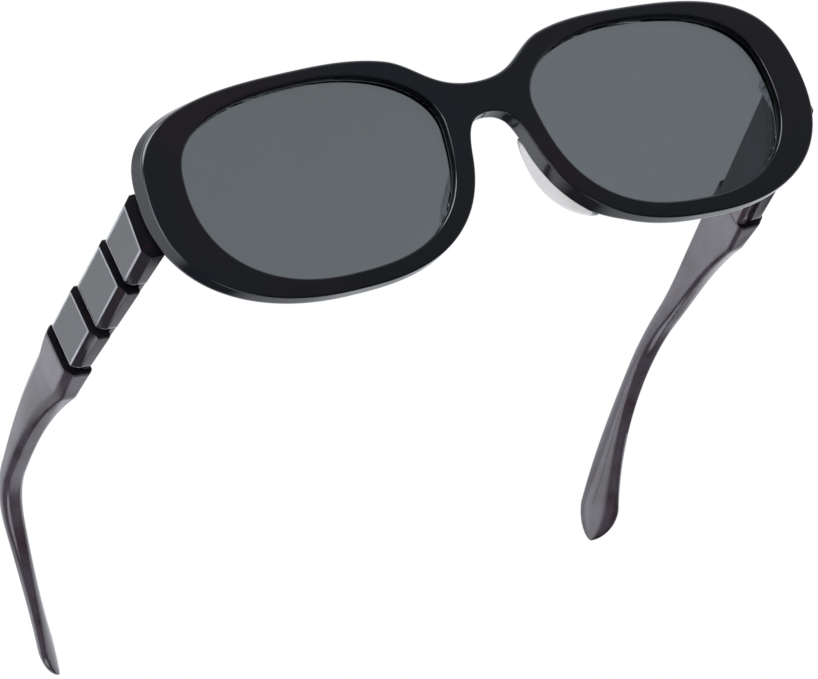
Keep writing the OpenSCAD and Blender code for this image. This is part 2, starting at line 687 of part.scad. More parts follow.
middle_y = (min([for (p = half_points) rest_y(p)]) + max([for (p = tip_points) rest_y(p)])) / 2;
module placed() {
    translate([0, -middle_y, -floor_z]) rotate([rest_tilt, 0, 0]) children();
}

ACETATE = [0.16, 0.14, 0.16];
PALE_ACETATE = [0.42, 0.4, 0.43];
LENS_GREY = [0.35, 0.37, 0.38, 0.6];
CLEAR = [0.85, 0.86, 0.86, 0.5];
STEEL = [0.7, 0.7, 0.72];

module front_frame() {
    color(ACETATE)
        placed()
            difference() {
                front_body();
                for (side = [RIGHT, LEFT]) on_side(side) front_leaf_plate(leaf_gap);
            }
}
module lens(side) { color(LENS_GREY) placed() on_side(side) lens_body(); }
module nose_pad(side) { color(CLEAR) placed() on_side(side) nose_pad_body(); }
module front_leaf(side) { color(STEEL) placed() on_side(side) front_leaf_body(); }
module hinge_screw(side) { color(STEEL) placed() on_side(side) hinge_screw_body(); }
module temple_leaf(side) { color(STEEL) placed() on_side(side) temple_leaf_body(); }
module core_wire(side) { color(STEEL) placed() on_side(side) at_temple() wire_body(0, 0); }
module temple(side) { color(PALE_ACETATE) placed() on_side(side) temple_body(); }
module front_block(side) {
    color(PALE_ACETATE)
        placed()
            on_side(side)
                difference() {
                    block_body(strip_front, front_block_l - block_gap);
                    mitre();
                }
}
module middle_block(side) {
    color(PALE_ACETATE)
        placed()
            on_side(side) block_body(front_block_l, front_block_l + middle_block_l - block_gap);
}
module rear_block(side) {
    color(PALE_ACETATE)
        placed()
            on_side(side) block_body(front_block_l + middle_block_l, blocks_l - block_gap);
}

front_frame();
lens(RIGHT);  // right_lens
lens(LEFT);  // left_lens
nose_pad(RIGHT);  // right_nose_pad
nose_pad(LEFT);  // left_nose_pad
front_leaf(RIGHT);  // right_front_leaf
front_leaf(LEFT);  // left_front_leaf
hinge_screw(RIGHT);  // right_hinge_screw
hinge_screw(LEFT);  // left_hinge_screw
temple_leaf(RIGHT);  // right_temple_leaf
temple_leaf(LEFT);  // left_temple_leaf
core_wire(RIGHT);  // right_core_wire
core_wire(LEFT);  // left_core_wire
temple(RIGHT);  // right_temple
temple(LEFT);  // left_temple
front_block(RIGHT);  // right_front_block
front_block(LEFT);  // left_front_block
middle_block(RIGHT);  // right_middle_block
middle_block(LEFT);  // left_middle_block
rear_block(RIGHT);  // right_rear_block
rear_block(LEFT);  // left_rear_block
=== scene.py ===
# Sunglasses: a thick oval front in dark acetate, grey lenses, clear nose pads, and temples
# of pale smoky acetate, each with three sculpted blocks in front of a slender arm.
# Right and left are the wearer's. The right side lies at negative X.
import json
import math

import bmesh
import bpy
from mathutils import Matrix, Vector


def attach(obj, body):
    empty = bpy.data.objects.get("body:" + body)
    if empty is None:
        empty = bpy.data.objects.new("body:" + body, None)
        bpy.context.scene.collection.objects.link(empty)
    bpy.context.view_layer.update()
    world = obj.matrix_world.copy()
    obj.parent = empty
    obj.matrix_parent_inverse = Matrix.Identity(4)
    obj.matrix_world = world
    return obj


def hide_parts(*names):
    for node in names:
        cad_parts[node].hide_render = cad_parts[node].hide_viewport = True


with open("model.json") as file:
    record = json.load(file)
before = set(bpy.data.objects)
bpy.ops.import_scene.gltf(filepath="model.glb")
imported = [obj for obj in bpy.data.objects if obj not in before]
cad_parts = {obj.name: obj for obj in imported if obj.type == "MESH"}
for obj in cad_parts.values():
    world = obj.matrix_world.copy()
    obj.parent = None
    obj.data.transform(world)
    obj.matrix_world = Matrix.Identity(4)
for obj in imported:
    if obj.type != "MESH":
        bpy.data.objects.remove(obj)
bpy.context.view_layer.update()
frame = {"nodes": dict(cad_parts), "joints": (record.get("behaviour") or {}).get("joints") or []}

scene = bpy.context.scene
MM = 0.001
SIDES = {"right": -1, "left": 1}

# How the glasses stand
# They are drawn upright with the lens centres at height 0, and rest tilted on both rims and
# both tips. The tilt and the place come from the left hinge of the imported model.
EYE_X = 36.0
OPENING = (26.2, 27.3, 14.7, 23.9)
RIM_WIDTHS = (4.1, 7.6, 2.6, 3.3)
FRONT_DEPTH = 4.2
FRONT_RADIUS = 595.0
HINGE_INSET = 4.9
HINGE_BACK = 2.2
TEMPLE_Z = -4.2
TEMPLE_SLOPE = math.radians(9.5)
TEMPLE_SPLAY = math.radians(6.9)


def face_depth(x):
    return FRONT_RADIUS - math.sqrt(FRONT_RADIUS ** 2 - x * x)


left_hinge = next(j for j in frame["joints"] if j["name"] == "left_temple_fold")
hinge_x = EYE_X + OPENING[1] + RIM_WIDTHS[1] - HINGE_INSET
hinge_drawn = Vector((hinge_x, face_depth(hinge_x) + FRONT_DEPTH + HINGE_BACK, TEMPLE_Z))
rest_tilt = TEMPLE_SLOPE - math.asin(left_hinge["axis"][1])
tilt = Matrix.Rotation(rest_tilt, 4, "X") @ Matrix.Scale(MM, 4)
standing = Matrix.Translation(Vector(left_hinge["pos_m"]) - tilt @ hinge_drawn) @ tilt
temple_on_front = (Matrix.Translation(hinge_drawn) @ Matrix.Rotation(-TEMPLE_SLOPE, 4, "X")
                   @ Matrix.Rotation(-TEMPLE_SPLAY, 4, "Z"))


WELD = 0.004 * MM
CRISP_ANGLE = 35


def piece_mesh(name, points, faces, side=1, place=None, sharp=CRISP_ANGLE, finishes=None):
    """A smooth closed mesh from points drawn in millimetres on the left side."""
    matrix = standing @ Matrix.Diagonal((side, 1, 1, 1)) @ (place or Matrix())
    mesh = bpy.data.meshes.new(name)
    mesh.from_pydata([matrix @ p for p in points], [], faces)
    if finishes:
        mesh.polygons.foreach_set("material_index", finishes)
    form = bmesh.new()
    form.from_mesh(mesh)
    bmesh.ops.remove_doubles(form, verts=form.verts, dist=WELD)
    bmesh.ops.recalc_face_normals(form, faces=form.faces)
    form.to_mesh(mesh)
    form.free()
    mesh.shade_smooth()
    mesh.set_sharp_from_angle(angle=math.radians(sharp))
    piece = bpy.data.objects.new(name, mesh)
    scene.collection.objects.link(piece)
    return piece


# Acetate
# Every acetate piece is sawn and milled from sheet and tumbled to a high polish. The sheet has
# faint clouds and streaks of a second colour, and the polish leaves very shallow waves.
ACETATE_INDEX = 1.49
CLOUD_EDGES = (0.38, 0.68)
STREAK_EDGES = (0.6, 0.78)
STREAK_STRETCH = (330, 90, 420)
STREAK_TURN = (0.3, 0.1, 0.25)
STREAK_SWIRL = 0.8
HAZE_SIZE = 900
HAZE_SHARE = 0.05
WAVE_SIZE = 140
WAVE_DEPTH = 0.0004


def soft_step(nodes, links, value, edges, before=0.0, after=1.0):
    """A smooth step between the two edges, from one value to the other."""
    step = nodes.new("ShaderNodeMapRange")
    step.interpolation_type = "SMOOTHSTEP"
    step.inputs["From Min"].default_value = edges[0]
    step.inputs["From Max"].default_value = edges[1]
    step.inputs["To Min"].default_value = before
    step.inputs["To Max"].default_value = after
    links.new(value, step.inputs["Value"])
    return step.outputs["Result"]


def both(nodes, links, operation, first, second):
    """One sum on two changing values."""
    sum_of = nodes.new("ShaderNodeMath")
    sum_of.operation = operation
    links.new(first, sum_of.inputs[0])
    links.new(second, sum_of.inputs[1])
    return sum_of.outputs["Value"]


def blended(nodes, links, share, first, second):
    """The second colour over the first, by the share."""
    blend = nodes.new("ShaderNodeMix")
    blend.data_type = "RGBA"
    links.new(share, blend.inputs["Factor"])
    links.new(first, blend.inputs["A"])
    links.new(second, blend.inputs["B"])
    return blend.outputs["Result"]


def grain(nodes, links, place, detail, scale=1):
    """A cloudy noise over the surface."""
    noise = nodes.new("ShaderNodeTexNoise")
    noise.inputs["Scale"].default_value = scale
    noise.inputs["Detail"].default_value = detail
    links.new(place, noise.inputs["Vector"])
    return noise


def stretched(nodes, links, place, scale, turn=(0, 0, 0)):
    """The place on the surface, drawn out and turned."""
    lay = nodes.new("ShaderNodeMapping")
    lay.inputs["Scale"].default_value = scale
    lay.inputs["Rotation"].default_value = turn
    links.new(place, lay.inputs["Vector"])
    return lay.outputs["Vector"]


def acetate_sheet_group():
    group = bpy.data.node_groups.new("acetate_sheet", "ShaderNodeTree")
    for name, kind, value in (
        ("Body", "NodeSocketColor", (0.1, 0.1, 0.1, 1)),
        ("Cloud", "NodeSocketColor", (0.2, 0.1, 0.1, 1)),
        ("Cloud Share", "NodeSocketFloat", 0.5),
        ("Cloud Size", "NodeSocketFloat", 60.0),
        ("Streak", "NodeSocketColor", (0.3, 0.1, 0.1, 1)),
        ("Streak Share", "NodeSocketFloat", 0.1),
        ("Polish", "NodeSocketFloat", 0.06),
        ("Wave Height", "NodeSocketFloat", 0.1),
    ):
        socket = group.interface.new_socket(name, in_out="INPUT", socket_type=kind)
        socket.default_value = value
    for name, kind in (("Color", "NodeSocketColor"), ("Roughness", "NodeSocketFloat"),
                       ("Normal", "NodeSocketVector")):
        group.interface.new_socket(name, in_out="OUTPUT", socket_type=kind)
    nodes, links = group.nodes, group.links
    given = nodes.new("NodeGroupInput")
    result = nodes.new("NodeGroupOutput")
    place = nodes.new("ShaderNodeTexCoord").outputs["Object"]

    clouds = grain(nodes, links, place, 3)
    links.new(given.outputs["Cloud Size"], clouds.inputs["Scale"])
    cloudy = soft_step(nodes, links, clouds.outputs["Fac"], CLOUD_EDGES)
    cloudy = both(nodes, links, "MULTIPLY", cloudy, given.outputs["Cloud Share"])
    clouded = blended(nodes, links, cloudy, given.outputs["Body"], given.outputs["Cloud"])

    streaks = grain(nodes, links, stretched(nodes, links, place, STREAK_STRETCH, STREAK_TURN), 4)
    streaks.inputs["Distortion"].default_value = STREAK_SWIRL
    streaky = soft_step(nodes, links, streaks.outputs["Fac"], STREAK_EDGES)
    streaky = both(nodes, links, "MULTIPLY", streaky, given.outputs["Streak Share"])
    streaked = blended(nodes, links, streaky, clouded, given.outputs["Streak"])
    links.new(streaked, result.inputs["Color"])

    haze = grain(nodes, links, place, 2, HAZE_SIZE)
    polish = nodes.new("ShaderNodeMath")
    polish.operation = "MULTIPLY_ADD"
    polish.inputs[1].default_value = HAZE_SHARE
    links.new(haze.outputs["Fac"], polish.inputs[0])
    links.new(given.outputs["Polish"], polish.inputs[2])
    links.new(polish.outputs["Value"], result.inputs["Roughness"])

    waves = grain(nodes, links, place, 1, WAVE_SIZE)
    shallow = nodes.new("ShaderNodeBump")
    shallow.inputs["Distance"].default_value = WAVE_DEPTH
    links.new(waves.outputs["Fac"], shallow.inputs["Height"])
    links.new(given.outputs["Wave Height"], shallow.inputs["Strength"])
    links.new(shallow.outputs["Normal"], result.inputs["Normal"])
    return group


acetate_sheet = acetate_sheet_group()


def acetate_material(name, body, cloud, streak, values, clear=0.0, index=ACETATE_INDEX):
    material = bpy.data.materials.new(name)
    material.use_nodes = True
    nodes, links = material.node_tree.nodes, material.node_tree.links
    shader = nodes["Principled BSDF"]
    shader.inputs["IOR"].default_value = index
    shader.inputs["Transmission Weight"].default_value = clear
    sheet = nodes.new("ShaderNodeGroup")
    sheet.node_tree = acetate_sheet
    sheet.inputs["Body"].default_value = (*body, 1)
    sheet.inputs["Cloud"].default_value = (*cloud, 1)
    sheet.inputs["Streak"].default_value = (*streak, 1)
    for key, value in values.items():
        sheet.inputs[key].default_value = value
    links.new(sheet.outputs["Color"], shader.inputs["Base Color"])
    links.new(sheet.outputs["Roughness"], shader.inputs["Roughness"])
    links.new(sheet.outputs["Normal"], shader.inputs["Normal"])
    return material


# Front
# One piece of dark smoke acetate, milled from a 4.2 mm sheet and bent to the face. The brow
# edge is rounded, the cheek edge is crisp, and a groove round each opening holds the lens.
# The milled walls are dull; their near-black colour is painted shade in the recess round each lens,
# and a low index keeps them dark.
LEAN = 0.1
OPENING_CORNERS = (2.0, 2.55, 2.2, 2.65)
RIM = tuple(a + b for a, b in zip(OPENING, RIM_WIDTHS))
RIM_CORNERS = (2.5, 3.0, 2.25, 2.6)
BRIDGE_TOP = 7.8
NOSE_ARCH = 1.2
BROW_EDGE = 1.0
CHEEK_EDGE = 0.4
BACK_EDGE = 1.3
BACK_EDGE_CHEEK = 1.8
OPENING_BEVEL = 0.5
SIDE_FLARE = 1.0
LENS_RECESS = 1.9
LENS_DEPTH = 1.8
LENS_GAP = 0.06
GROOVE = 0.8
STATIONS = 72
RIM_START, RIM_LAST, BROW_LAST, ARCH_FIRST = 190, 58, 65, 67
FINE = 4
BROW_REACH, BRIDGE_REACH = 6.4, 9.3
ARCH_REACH, NOSE_REACH = 5, 4.6
FLARE_MIDDLE = 20
BROW_BLEND = 10
CORNER_STEP = 10
FACE_SHARES = (0.04, 0.2, 0.5, 0.8, 0.96)
SIDE_SHARES = (0.06, 0.5, 0.94)
BACK_SHARES = (0.04, 0.5, 0.96)
FRONT_CRISP = 40
FRONT_COLOUR = (0.0070, 0.0090, 0.0130)
FRONT_CLOUD = (0.0135, 0.0085, 0.0115)
FRONT_STREAK = (0.05, 0.02, 0.028)
# Painted shade: the opening walls get this colour, darker than the front's own, for the recess round
# each lens.
WALL_SHADED_COLOUR = (0.003, 0.003, 0.004)
WALL_INDEX = 1.15
WAY_STEP = 0.4


def mix(a, b, share):
    return a + (b - a) * share


def smooth(value):
    value = min(1, max(0, value))
    return value * value * (3 - 2 * value)


def eye_outline(degrees, reach, corners):
    """Round the left eye in the plane of the front: 0 is the temple side, 90 the brow."""
    c, s = math.cos(math.radians(degrees)), math.sin(math.radians(degrees))
    nose, temple, up, down = reach
    brow_nose, brow_temple, cheek_temple, cheek_nose = corners
    if s > 0:
        power = 2 / (brow_temple if c > 0 else brow_nose)
    else:
        power = 2 / (cheek_temple if c > 0 else cheek_nose)
    across = math.copysign(abs(c) ** power, c) * (temple if c > 0 else nose)
    above = math.copysign(abs(s) ** power, s) * (up if s > 0 else down)
    return Vector((EYE_X + across - LEAN * above, above))


def outline_way(degrees, reach, corners):
    ahead = eye_outline(degrees + WAY_STEP, reach, corners)
    return (ahead - eye_outline(degrees - WAY_STEP, reach, corners)).normalized()


def left_of(way):
    return Vector((-way.y, way.x))


def bezier(curve, s):
    start, first, second, end = curve
    return (start * (1 - s) ** 3 + first * 3 * s * (1 - s) ** 2 + second * 3 * s * s * (1 - s)
            + end * s ** 3)


def bezier_way(curve, s):
    start, first, second, end = curve
    way = ((first - start) * (1 - s) ** 2 + (second - first) * 2 * s * (1 - s)
           + (end - second) * s * s)
    return way.normalized()


def rim_angle(k):
    return RIM_START + 360 / STATIONS * k


brow_start = eye_outline(rim_angle(RIM_LAST), RIM, RIM_CORNERS)
brow_way = outline_way(rim_angle(RIM_LAST), RIM, RIM_CORNERS)
brow_curve = (brow_start, brow_start + brow_way * BROW_REACH,
              Vector((BRIDGE_REACH, BRIDGE_TOP)), Vector((0, BRIDGE_TOP)))
arch_end = eye_outline(RIM_START, RIM, RIM_CORNERS)
arch_way = outline_way(RIM_START, RIM, RIM_CORNERS)
arch_curve = (Vector((0, NOSE_ARCH)), Vector((NOSE_REACH, NOSE_ARCH)),
              arch_end - arch_way * ARCH_REACH, arch_end)


def front_edge(k):
    """The front's outer edge and its direction at station k: rim, brow, middle and arch."""
    if k <= RIM_LAST:
        degrees = rim_angle(k)
        return eye_outline(degrees, RIM, RIM_CORNERS), outline_way(degrees, RIM, RIM_CORNERS)
    if k <= BROW_LAST:
        share = (k - RIM_LAST) / (BROW_LAST - RIM_LAST)
        return bezier(brow_curve, share), bezier_way(brow_curve, share)
    if k < ARCH_FIRST:
        share = (k - BROW_LAST) / (ARCH_FIRST - BROW_LAST)
        return Vector((0, mix(BRIDGE_TOP, NOSE_ARCH, share))), Vector((0, -1))
    share = (k - ARCH_FIRST) / (STATIONS - ARCH_FIRST)
    return bezier(arch_curve, share), bezier_way(arch_curve, share)


def behind_face(point, depth):
    return Vector((point.x, face_depth(point.x) + depth, point.y))


PAD_SEAT = (0, 7)
SEAT_EDGE = 0.15
SEAT_BLEND = 3


def back_rounding(k, height):
    """The back edge is round, rounder below, and left sharp where a pad is glued on."""
    away = min(abs(k - PAD_SEAT[0]), abs(k - PAD_SEAT[1]), abs(k - STATIONS - PAD_SEAT[0]))
    seat = 1 if PAD_SEAT[0] <= k <= PAD_SEAT[1] else 1 - min(1, away / SEAT_BLEND)
    return mix(mix(BACK_EDGE, BACK_EDGE_CHEEK, smooth(height / (-RIM[3] / 2))), SEAT_EDGE, seat)


def side_flare(k, degrees):
    """How far the side wall leans outward to the back, most at the temple side."""
    if k > RIM_LAST:
        return 0
    return SIDE_FLARE * max(0, math.cos(math.radians(degrees - FLARE_MIDDLE))) ** 2


def front_section(k):
    """One loop through the rim, from the opening over the face, the side and the back."""
    degrees = rim_angle(k)
    opening = eye_outline(degrees, OPENING, OPENING_CORNERS)
    out = -left_of(outline_way(degrees, OPENING, OPENING_CORNERS))
    edge, way = front_edge(k)
    inward = left_of(way)
    middle = BROW_LAST < k < ARCH_FIRST
    ahead = 0 if middle else mix(CHEEK_EDGE, BROW_EDGE, smooth(edge.y / BROW_BLEND))
    behind = 0 if middle else back_rounding(k, edge.y)
    back_edge = edge - inward * side_flare(k, degrees)
    bevel = OPENING_BEVEL
    lip = opening + out * bevel
    quarter = [math.radians(a) for a in range(0, 91, CORNER_STEP)]
    loop = [behind_face(lip - out * bevel * math.cos(a), bevel * (1 - math.sin(a)))
            for a in quarter[::3]]
    face_end = edge + inward * ahead
    loop += [behind_face(mix(lip, face_end, s), 0) for s in FACE_SHARES]
    face_part = len(loop)
    loop += [behind_face(edge + inward * ahead * (1 - math.sin(a)), ahead * (1 - math.cos(a)))
             for a in quarter]
    loop += [behind_face(mix(edge, back_edge, s), mix(ahead, FRONT_DEPTH - behind, s))
             for s in SIDE_SHARES]
    loop += [behind_face(back_edge + inward * behind * (1 - math.sin(a)),
                         FRONT_DEPTH - behind * (1 - math.cos(a))) for a in reversed(quarter)]
    back_part = len(loop)
    back_end = back_edge + inward * behind
    loop += [behind_face(mix(back_end, lip, s), FRONT_DEPTH) for s in BACK_SHARES]
    loop += [behind_face(lip - out * bevel * math.cos(a), FRONT_DEPTH - bevel * (1 - math.sin(a)))
             for a in reversed(quarter[::3])]
    groove_mid = LENS_RECESS + LENS_DEPTH / 2
    groove_half = LENS_DEPTH / 2 + LENS_GAP
    loop += [behind_face(opening, groove_mid + groove_half),
             behind_face(opening + out * GROOVE, groove_mid),
             behind_face(opening, groove_mid - groove_half)]
    return loop, face_part, back_part


front_points = []
front_faces = []
front_finishes = []
station_count = STATIONS * FINE
sections = [front_section(i / FINE) for i in range(station_count)]
columns = len(sections[0][0])
# The wall columns get the milled finish with painted shade.
wall_columns = (0, columns - 4, columns - 3, columns - 2, columns - 1)
for mirror in (1, -1):
    start = len(front_points)
    front_points += [Vector((p.x * mirror, p.y, p.z)) for loop, _, _ in sections for p in loop]
    for i in range(station_count):
        in_middle = BROW_LAST * FINE <= i < ARCH_FIRST * FINE
        for j in range(columns):
            if in_middle and sections[0][1] <= j < sections[0][2] - 1:
                continue
            a = start + i * columns + j
            b = start + (i + 1) % station_count * columns + j
            step = 1 if j < columns - 1 else 1 - columns
            front_faces.append((a, b, b + step, a + step))
            front_finishes.append(1 if j in wall_columns else 0)
front_piece = piece_mesh("front_polished", front_points, front_faces, sharp=FRONT_CRISP,
                         finishes=front_finishes)
front_acetate = acetate_material(
    "dark_smoke_acetate", FRONT_COLOUR, FRONT_CLOUD, FRONT_STREAK,
    {"Cloud Share": 0.75, "Cloud Size": 28, "Streak Share": 0.1, "Polish": 0.05, "Wave Height": 0.12})
front_piece.data.materials.append(front_acetate)
# The opening walls: a milled, rougher finish, with painted shade in their darker colour and low
# index.
milled_wall_and_shade = acetate_material(
    "milled_opening_wall_and_painted_shade", WALL_SHADED_COLOUR, FRONT_COLOUR, FRONT_CLOUD,
    {"Cloud Share": 0.5, "Cloud Size": 60, "Streak Share": 0.1, "Polish": 0.4, "Wave Height": 0.1},
    index=WALL_INDEX)
front_piece.data.materials.append(milled_wall_and_shade)
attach(front_piece, "front")
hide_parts("front_frame")

# Lenses
# Neutral grey see-through lenses, almost flat, edged all round to a bevel that snaps
# into the rim's groove.
LENS_COLOUR = (0.1225, 0.138, 0.1475)
LENS_INDEX = 1.5
SHADE_SIZE = 12
SHADE_EDGES = (0.35, 0.65)
SHADE_RANGE = (0.95, 1.05)
LENS_STEP = 1.5
LENS_SHARES = (0.1, 0.3, 0.5, 0.7, 0.85, 0.95, 1)


def lens_material():
    material = bpy.data.materials.new("grey_lens")
    material.use_nodes = True
    nodes, links = material.node_tree.nodes, material.node_tree.links
    shader = nodes["Principled BSDF"]
    shader.inputs["Transmission Weight"].default_value = 1
    shader.inputs["IOR"].default_value = LENS_INDEX
    shader.inputs["Roughness"].default_value = 0.0
    place = nodes.new("ShaderNodeTexCoord").outputs["Object"]
    shade = grain(nodes, links, place, 0, SHADE_SIZE)
    tint = nodes.new("ShaderNodeValToRGB")
    for stop, at, strength in zip(tint.color_ramp.elements, SHADE_EDGES, SHADE_RANGE):
        stop.position = at
        stop.color = (*[c * strength for c in LENS_COLOUR], 1)
    links.new(shade.outputs["Fac"], tint.inputs["Fac"])
    links.new(tint.outputs["Color"], shader.inputs["Base Color"])
    return material


def lens_ring(out, share, depth):
    ring = []
    for i in range(int(360 / LENS_STEP)):
        degrees = i * LENS_STEP
        way = outline_way(degrees, OPENING, OPENING_CORNERS)
        edge = eye_outline(degrees, OPENING, OPENING_CORNERS) - left_of(way) * out
        ring.append(behind_face(mix(Vector((EYE_X, 0)), edge, share), depth))
    return ring


def skin(rings):
    """Points and faces of a closed skin over a row of rings."""
    count = len(rings[0])
    faces = [(i * count + j, i * count + (j + 1) % count,
              (i + 1) * count + (j + 1) % count, (i + 1) * count + j)
             for i in range(len(rings) - 1) for j in range(count)]
    faces.append(tuple(range(count)))
    faces.append(tuple((len(rings) - 1) * count + j for j in range(count)))
    return [p for ring in rings for p in ring], faces


lens_glass = lens_material()
lens_back = LENS_RECESS + LENS_DEPTH
lens_rings = [lens_ring(-LENS_GAP, s, LENS_RECESS) for s in LENS_SHARES]
lens_rings.append(lens_ring(GROOVE - 2 * LENS_GAP, 1, LENS_RECESS + LENS_DEPTH / 2))
lens_rings += [lens_ring(-LENS_GAP, s, lens_back) for s in reversed(LENS_SHARES)]
for side_name, side in SIDES.items():
    lens = piece_mesh(side_name + "_lens_polished", *skin(lens_rings), side=side)
    lens.data.materials.append(lens_glass)
    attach(lens, "front")
    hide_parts(side_name + "_lens")

# Nose pads
# Clear acetate crescents, glued behind the nose side of each rim and polished round, so
# that they rise out of the rim's edge and sink back into it.
PAD_FROM, PAD_TO = -1.2, 7.8
PAD_HEIGHT = 6.2
PAD_WIDTH = 3.6
PAD_LEAN = 0.4
PAD_INSET = 0.1
PAD_SQUARENESS, PAD_FULLNESS = 0.8, 0.75
PAD_STEPS = 24
PAD_RINGS = 44
GLUE_GAP = 0.05
PAD_COLOUR = (0.80, 0.80, 0.81)
PAD_CLOUD = (0.72, 0.72, 0.74)
PAD_STREAK = (0.85, 0.85, 0.86)
PAD_CLEARNESS = 0.75


def pad_ring(share):
    k = mix(PAD_FROM, PAD_TO, share)
    if k < 0:
        along = 1 + k / (STATIONS - ARCH_FIRST)
        edge, way = bezier(arch_curve, along), bezier_way(arch_curve, along)
    else:
        edge, way = front_edge(k)
    full = math.sqrt(math.sin(math.pi * share))
    inward = left_of(way)
    ring = []
    for step in range(PAD_STEPS + 1):
        turn = math.pi * step / PAD_STEPS
        flat = abs(math.cos(turn)) ** PAD_SQUARENESS
        across = 0.5 + 0.5 * math.copysign(flat, math.cos(turn))
        rise = math.sin(turn) ** PAD_FULLNESS if step % PAD_STEPS else 0
        offset = across * PAD_WIDTH * full + rise * rise * PAD_LEAN * full
        ring.append(behind_face(edge + inward * (PAD_INSET + offset),
                                FRONT_DEPTH + GLUE_GAP + rise * PAD_HEIGHT * full))
    return ring


pad_acetate = acetate_material(
    "clear_pad_acetate", PAD_COLOUR, PAD_CLOUD, PAD_STREAK,
    {"Cloud Share": 0.4, "Cloud Size": 120, "Streak Share": 0.1, "Polish": 0.08, "Wave Height": 0.1},
    clear=PAD_CLEARNESS)
pad_rings = [pad_ring((1 - math.cos(math.pi * i / PAD_RINGS)) / 2) for i in range(1, PAD_RINGS)]
for side_name, side in SIDES.items():
    pad = piece_mesh(side_name + "_pad_polished", *skin(pad_rings), side=side)
    pad.data.materials.append(pad_acetate)
    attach(pad, "front")
    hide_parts(side_name + "_nose_pad")

# Hinges and core wires
# Five-knuckle hinges of nickel silver with one slotted screw, pressed hot into the
# acetate. A flat wire runs from each temple leaf through the arm almost to the tip.
METAL_COLOUR = (0.55, 0.54, 0.55)
WIRE_COLOUR = (0.30, 0.29, 0.31)
METAL_ROUGHNESS, WIRE_ROUGHNESS = 0.18, 0.3
BRUSH_STRETCH = (3000, 250, 3000)
BRUSH_DARK, BRUSH_BRIGHT = 0.75, 1.15
BRUSH_DULLING = 0.2
SCRATCH_STRENGTH = 0.15
SCRATCH_DEPTH = 0.05 * MM
DEBURRING = 0.06 * MM
DEBURRED_ANGLE = 50


def brushed_metal(name, colour, roughness):
    material = bpy.data.materials.new(name)
    material.use_nodes = True
    nodes, links = material.node_tree.nodes, material.node_tree.links
    shader = nodes["Principled BSDF"]
    shader.inputs["Metallic"].default_value = 1
    place = nodes.new("ShaderNodeTexCoord").outputs["Object"]
    brushing = grain(nodes, links, stretched(nodes, links, place, BRUSH_STRETCH), 3)
    tone = nodes.new("ShaderNodeValToRGB")
    for stop, strength in zip(tone.color_ramp.elements, (BRUSH_DARK, BRUSH_BRIGHT)):
        stop.color = (*[min(1, c * strength) for c in colour], 1)
    links.new(brushing.outputs["Fac"], tone.inputs["Fac"])
    links.new(tone.outputs["Color"], shader.inputs["Base Color"])
    dull = nodes.new("ShaderNodeMath")
    dull.operation = "MULTIPLY_ADD"
    dull.inputs[1].default_value = BRUSH_DULLING
    dull.inputs[2].default_value = roughness
    links.new(brushing.outputs["Fac"], dull.inputs[0])
    links.new(dull.outputs["Value"], shader.inputs["Roughness"])
    scratches = nodes.new("ShaderNodeBump")
    scratches.inputs["Strength"].default_value = SCRATCH_STRENGTH
    scratches.inputs["Distance"].default_value = SCRATCH_DEPTH
    links.new(brushing.outputs["Fac"], scratches.inputs["Height"])
    links.new(scratches.outputs["Normal"], shader.inputs["Normal"])
    return material


hinge_metal = brushed_metal("hinge_nickel_silver", METAL_COLOUR, METAL_ROUGHNESS)
wire_metal = brushed_metal("core_wire_metal", WIRE_COLOUR, WIRE_ROUGHNESS)
for side_name in SIDES:
    for part in ("front_leaf", "temple_leaf", "hinge_screw"):
        node = frame["nodes"][side_name + "_" + part]
        node.data.materials.clear()
        node.data.materials.append(hinge_metal)
        softened = node.modifiers.new("deburred_edges", "BEVEL")
        softened.width = DEBURRING
        softened.segments = 2
        softened.limit_method = "ANGLE"
        softened.angle_limit = math.radians(DEBURRED_ANGLE)
    wire = frame["nodes"][side_name + "_core_wire"]
    wire.data.materials.clear()
    wire.data.materials.append(wire_metal)

# Temples
# One piece of pale smoky acetate each: a flat strip under the blocks, a fourth block-like
# end, a slender arm that bows inward, the bend over the ear and a twisted, pointed tip.
# The sawn ends are dull; their near-black colour is painted shade for the gaps between the blocks,
# and a low index keeps them dark.
TEMPLE_IN = 1.8
STRIP = 1.9
BLOCK_DEPTH = 6.1
PANEL = 9.0
SLOPE_UP, SLOPE_DOWN, SLOPE_IN = 1.7, 2.0, 1.5
EDGE_FALL, EDGE_RISE = 0.5, 0.5
STRIP_INSET = 1.0
BLOCK_LENGTHS = {"front": 13.8, "middle": 14.7, "rear": 13.0}
ARM_HEAD = 8.5
INNER_CHAMFER = 0.8
ARM_DEPTH, ARM_HEIGHT = 4.8, 4.2
TAPER_LENGTH = 43
EAR_START_LENGTH, EAR_BEND_LENGTH = 42, 18
EAR_DROP, TIP_DROP = 24, 20
BOW_TURN, EAR_TURN = 12, 9
TEMPLE_LENGTH = 138.5
ARM_SOFTNESS, SOFT_BEYOND = 0.8, 8
ARM_LIFT, LIFT_LENGTH = 0.55, 35
ARM_ROUNDING, STRIP_ROUNDING = 0.4, 0.25
STRIP_CHAMFER = 0.1
DOME_FALL, DOME_BEFORE, DOME_LENGTH = 0.92, 20, 36
TIP_DEPTH, TIP_HEIGHT, TIP_TWIST, TIP_POINT = 2.8, 8.6, 38, 7.5
TIP_SWELL, SWELL_POWER = 32, 1.6
POINT_POWER, POINT_LEAST = 1.3, 0.05
BUTT_GAP = 0.3
OVERREACH = 3
STRIP_STATIONS = (-OVERREACH, 5, 15, 25, 35)
STRIP_STOP = 0.05
HEAD_EDGE = ((0, 0.5), (0.08, 0.2), (0.25, 0))
HEAD_CLEAR = 1
ARM_RINGS = 110
TIP_STEP = 6
CHAMFER_LIMIT = 0.3
SAW_TOLERANCE = 0.0001 * MM
TEMPLE_COLOUR = (0.030, 0.025, 0.032)
TEMPLE_CLOUD = (0.030, 0.024, 0.030)
